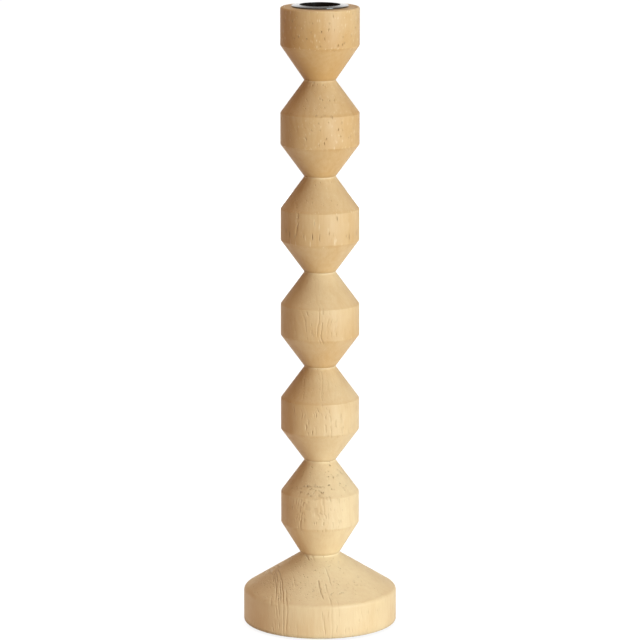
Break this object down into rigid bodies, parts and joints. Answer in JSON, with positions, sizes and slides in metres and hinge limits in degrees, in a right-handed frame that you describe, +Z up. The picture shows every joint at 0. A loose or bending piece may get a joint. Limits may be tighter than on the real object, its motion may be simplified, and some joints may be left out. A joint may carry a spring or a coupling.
{
  "type": "taper candle stand",
  "caption": "Turned wooden candle stand: a round base, a stack of faceted beads and a head that holds a lift-out black steel cup for a taper candle.",
  "frame": {"origin": "middle of the felt underside, where the stand rests on a table", "axes": "+Z up along the tie rod, towards the candle; the stand is round, so X and Y are free"},
  "size_m": [0.086, 0.086, 0.3505],
  "materials": {
    "turned_wood": "pale close-grained wood, turned and sanded, with a thin matt sealer",
    "black_enamel": "glossy black baked enamel on pressed steel",
    "zinc_steel": "zinc-plated steel",
    "felt": "thin pressed felt, dark grey-brown"
  },
  "bodies": {
    "stand": {"head": "turned_wood", "bead_5": "turned_wood", "bead_4": "turned_wood", "bead_3": "turned_wood", "bead_2": "turned_wood", "bead_1": "turned_wood", "base": "turned_wood", "tie_rod": "zinc_steel", "top_washer": "zinc_steel", "top_nut": "zinc_steel", "base_washer": "zinc_steel", "base_nut": "zinc_steel", "felt_pad": "felt"},
    "cup": {"candle_cup": "black_enamel"}
  },
  "joints": [
    {"name": "cup_lift", "type": "slide", "parent": "stand", "child": "cup", "axis": [0, 0, 1], "range_m": [0, 0.02]}
  ]
}
